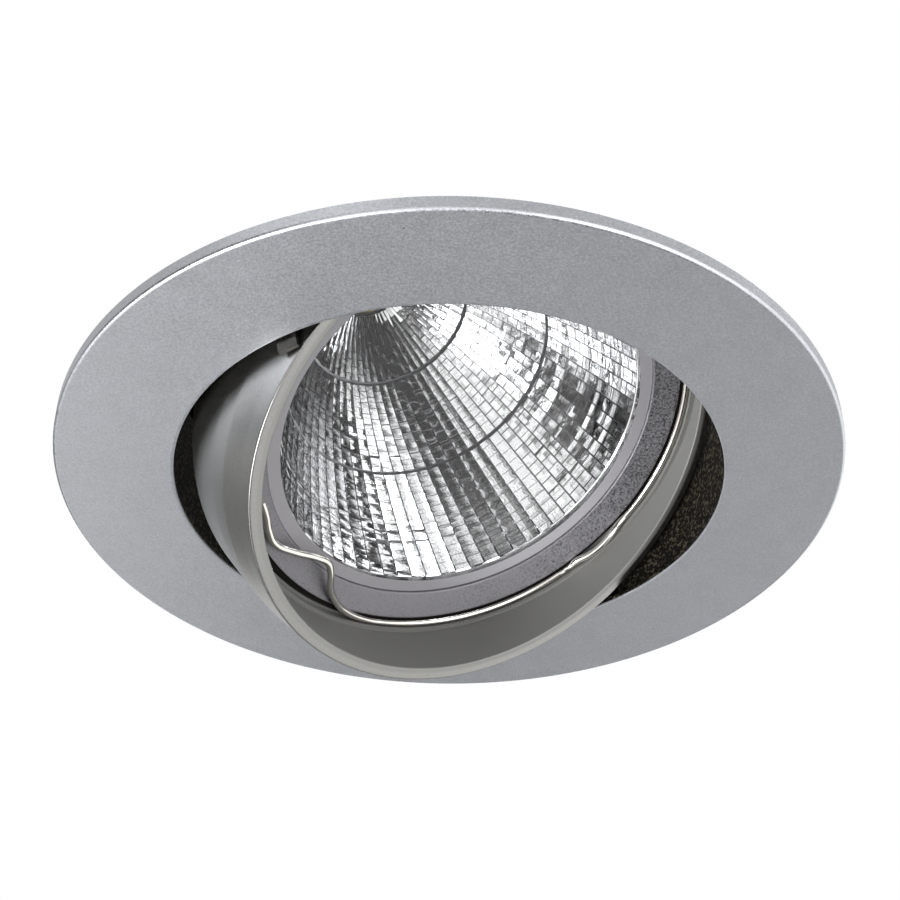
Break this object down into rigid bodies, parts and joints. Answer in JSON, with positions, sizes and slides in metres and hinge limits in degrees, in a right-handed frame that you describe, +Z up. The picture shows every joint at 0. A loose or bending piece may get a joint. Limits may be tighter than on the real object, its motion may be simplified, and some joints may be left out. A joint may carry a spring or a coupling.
{
  "type": "soffit downlight",
  "caption": "Recessed tilting soffit downlight: satin flange, tilting cup, reflector lamp held by a wire clip, twist-lock lampholder and sprung mounting arms.",
  "frame": {"origin": "middle of the flange's back face, which is the middle of the ceiling cut-out on the ceiling's underside", "axes": "+Z up into the ceiling void, square to the flange's back face; the light leaves towards -Z; the tilt's pivots are at azimuths 55 and 235 degrees from +X"},
  "size_m": [0.0812, 0.1106, 0.0855],
  "materials": {
    "satin_nickel": "satin nickel finish on die-cast aluminium, fine grain",
    "cup_nickel": "satin nickel finish, slightly olive, on die-cast aluminium",
    "sheet_steel": "zinc-plated sheet steel",
    "leaf_steel": "bright spring steel",
    "rivet": "plain aluminium",
    "spring_steel": "drawn spring wire",
    "sleeve": "soft white plastic",
    "screw": "bright zinc",
    "washer": "natural nylon",
    "clip_wire": "bright nickel-plated wire",
    "bezel_metal": "grey metallic lacquer",
    "lamp_glass": "clear flat glass",
    "reflector_metal": "bright metallised facets",
    "emitter": "phosphor disc",
    "board_white": "white coated aluminium board",
    "housing_metal": "pale grey lacquered ribs",
    "board_green": "glass-fibre circuit board",
    "lamp_plastic": "white heat-resistant plastic",
    "pin_metal": "nickel-plated pins",
    "holder_ceramic": "unglazed white ceramic",
    "contact_brass": "plain brass"
  },
  "bodies": {
    "trim": {"trim_ring": "satin_nickel", "side_bracket_a": "sheet_steel", "side_bracket_b": "sheet_steel", "bracket_rivets": "rivet", "pivot_leaves": "leaf_steel", "spring_pins": "rivet"},
    "spring_a": {"mounting_spring_a": "spring_steel", "spring_sleeve_a": "sleeve"},
    "spring_b": {"mounting_spring_b": "spring_steel", "spring_sleeve_b": "sleeve"},
    "cup": {"cup": "cup_nickel", "pivot_screws": "screw", "friction_washers": "washer", "wire_clip": "clip_wire", "lamp_bezel": "bezel_metal", "lamp_glass": "lamp_glass", "reflector": "reflector_metal", "led_emitter": "emitter", "led_board": "board_white", "lamp_housing": "housing_metal", "driver_board": "board_green", "lamp_base": "lamp_plastic", "lamp_pins": "pin_metal"},
    "holder": {"holder_body": "holder_ceramic", "holder_contacts": "contact_brass", "holder_cap": "holder_ceramic", "holder_screws": "screw"}
  },
  "joints": [
    {"name": "cup_tilt", "type": "hinge", "parent": "trim", "child": "cup", "pos_m": [0, 0, 0.0083], "axis": [-0.5736, -0.8192, 0], "range_deg": [-60, 0]},
    {"name": "spring_a_fold", "type": "hinge", "parent": "trim", "child": "spring_a", "pos_m": [0.01744, 0.0249, 0.0196], "axis": [0.8192, -0.5736, 0], "range_deg": [0, 104], "stiffness_Nm_per_rad": 0.12, "springref_deg": -60.16},
    {"name": "spring_b_fold", "type": "hinge", "parent": "trim", "child": "spring_b", "pos_m": [-0.01744, -0.0249, 0.0196], "axis": [-0.8192, 0.5736, 0], "range_deg": [0, 104], "stiffness_Nm_per_rad": 0.12, "springref_deg": -60.16},
    {"name": "holder_twist", "type": "hinge", "parent": "cup", "child": "holder", "pos_m": [0.00225, -0.00157, 0.00444], "axis": [-0.3706, 0.2595, 0.8918], "range_deg": [0, 25]}
  ]
}
